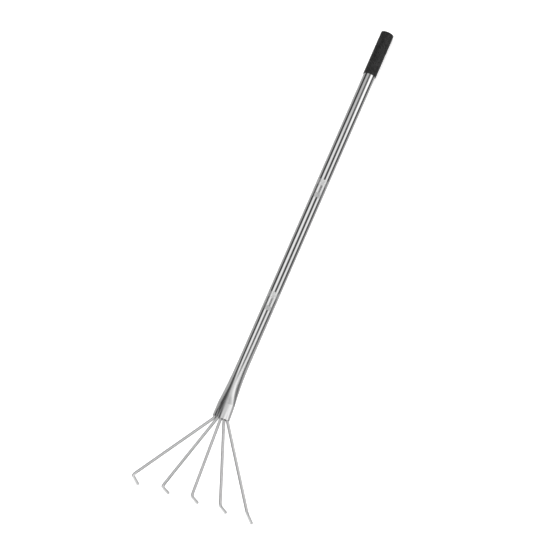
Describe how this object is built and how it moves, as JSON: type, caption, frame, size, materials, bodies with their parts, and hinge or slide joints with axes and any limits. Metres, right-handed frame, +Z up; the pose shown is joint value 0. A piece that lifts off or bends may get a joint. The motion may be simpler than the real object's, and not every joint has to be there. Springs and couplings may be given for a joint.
{
  "type": "leaf rake",
  "caption": "Wire garden rake: a long round stainless tube handle with a black sleeve grip, pressed flat at its foot around a fan of wire tines with bent hook tips.",
  "frame": {"origin": "centre of the rake's footprint on level ground, where it lies on its hook tips and the edge of its grip", "axes": "+Y along the handle towards the grip, +Z up away from the hooks, +X across the fan of tines"},
  "size_m": [0.262, 1.0706, 0.0712],
  "materials": {
    "polished_tube": "polished",
    "satin_wire": "satin",
    "weld_metal": "rough",
    "grip_vinyl": "matte",
    "label_film": "clear film with a pale print"
  },
  "bodies": {
    "root": {"handle_tube": "polished_tube", "grip_sleeve": "grip_vinyl", "upper_label": "label_film", "lower_label": "label_film", "left_outer_tine": "satin_wire", "left_inner_tine": "satin_wire", "centre_tine": "satin_wire", "right_inner_tine": "satin_wire", "right_outer_tine": "satin_wire", "mouth_welds": "weld_metal"}
  },
  "joints": []
}
